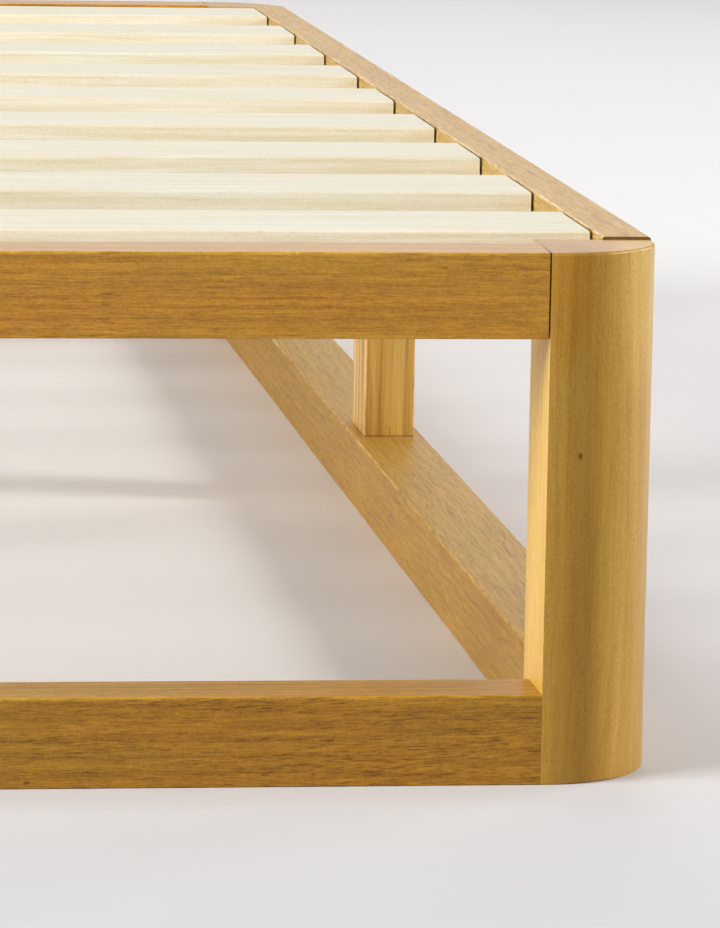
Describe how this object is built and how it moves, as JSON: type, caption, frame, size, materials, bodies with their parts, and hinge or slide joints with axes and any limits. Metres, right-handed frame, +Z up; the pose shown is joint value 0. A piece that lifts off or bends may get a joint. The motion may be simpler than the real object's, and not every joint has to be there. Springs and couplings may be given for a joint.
{
  "type": "toddler floor bed",
  "caption": "Low wooden toddler floor bed with open stained frame, big rounded corner posts and bare pine slats laid flush in rabbeted side rails.",
  "frame": {"origin": "on the floor, under the middle of the bed", "axes": "+Y along the bed's length towards its rear end, +Z up, +X to the right as seen from the front end"},
  "size_m": [0.74, 1.36, 0.2],
  "materials": {
    "stained_wood": "honey stain under satin lacquer",
    "bare_pine": "sanded, unfinished",
    "beech_dowel": "fluted, unfinished",
    "zinc_steel": "bright zinc plate",
    "zinc_cast": "die-cast, matt"
  },
  "bodies": {
    "root": {"front_left_post": "stained_wood", "front_right_post": "stained_wood", "front_top_rail": "stained_wood", "front_bottom_rail": "stained_wood", "rear_left_post": "stained_wood", "rear_right_post": "stained_wood", "rear_top_rail": "stained_wood", "rear_bottom_rail": "stained_wood", "left_side_top_rail": "stained_wood", "left_side_bottom_rail": "stained_wood", "left_stile": "stained_wood", "right_side_top_rail": "stained_wood", "right_side_bottom_rail": "stained_wood", "right_stile": "stained_wood", "slat_1": "bare_pine", "slat_2": "bare_pine", "slat_3": "bare_pine", "slat_4": "bare_pine", "slat_5": "bare_pine", "slat_6": "bare_pine", "slat_7": "bare_pine", "slat_8": "bare_pine", "slat_9": "bare_pine", "side_rail_dowels": "beech_dowel", "cam_studs": "zinc_steel", "cam_locks": "zinc_cast", "slat_screws": "zinc_steel"}
  },
  "joints": []
}
